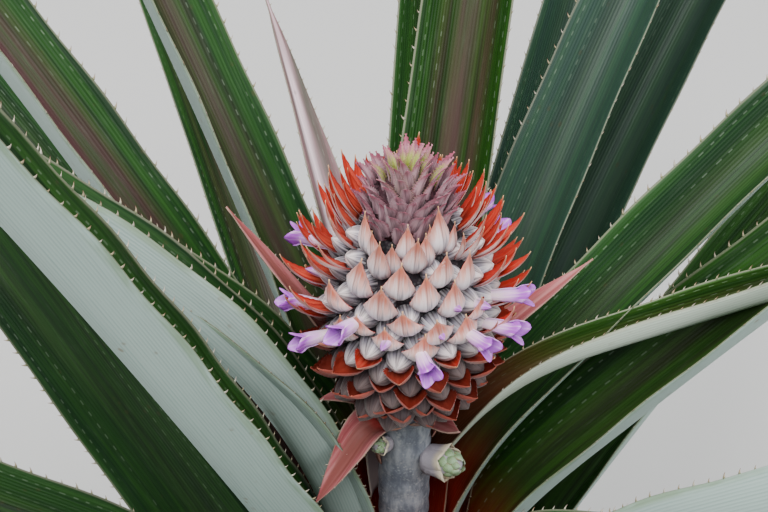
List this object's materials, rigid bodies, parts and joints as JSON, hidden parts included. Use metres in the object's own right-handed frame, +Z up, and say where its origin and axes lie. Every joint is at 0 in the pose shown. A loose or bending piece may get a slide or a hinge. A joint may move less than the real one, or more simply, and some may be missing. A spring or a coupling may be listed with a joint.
{
  "type": "pineapple plant",
  "caption": "Pineapple plant in bloom: toothed strap leaves on a short stem round a scape with a flowering fruit and a small crown.",
  "frame": {"origin": "on the ground, at the middle of the flat cut under the stem", "axes": "+Z up along the stem, -Y towards the pictured side, +X to the right in the picture"},
  "size_m": [1.3954, 1.3145, 0.896],
  "materials": {
    "stem": "matt, scarred, grey-white bloom on the scape",
    "leaf": "semi-matt, green and bronze above, grey bloom below",
    "scape_leaf": "semi-matt",
    "bract": "semi-matt, red",
    "fruit": "matt, scurfy",
    "crown": "matt, scurfy",
    "slip": "matt"
  },
  "bodies": {
    "root": {"stem": "stem", "fruit": "fruit", "crown": "crown", "slip_right": "slip", "slip_left": "slip", "scape_leaf_right": "scape_leaf", "scape_leaf_back": "scape_leaf", "bract_left": "bract", "bract_right": "bract", "bract_behind": "bract", "bract_hanging": "bract", "bract_curled": "bract", "bract_under": "bract", "leaf_01": "leaf", "leaf_02": "leaf", "leaf_03": "leaf", "leaf_04": "leaf", "leaf_05": "leaf", "leaf_06": "leaf", "leaf_07": "leaf", "leaf_08": "leaf", "leaf_09": "leaf", "leaf_10": "leaf", "leaf_11": "leaf", "leaf_12": "leaf", "leaf_13": "leaf", "leaf_14": "leaf", "leaf_15": "leaf", "leaf_16": "leaf", "leaf_17": "leaf", "leaf_18": "leaf", "leaf_19": "leaf", "leaf_20": "leaf", "leaf_21": "leaf", "leaf_22": "leaf", "leaf_23": "leaf", "leaf_24": "leaf", "leaf_25": "leaf", "leaf_26": "leaf", "leaf_27": "leaf", "leaf_28": "leaf", "leaf_29": "leaf", "leaf_30": "leaf", "leaf_31": "leaf", "leaf_32": "leaf", "leaf_33": "leaf", "leaf_34": "leaf"}
  },
  "joints": []
}
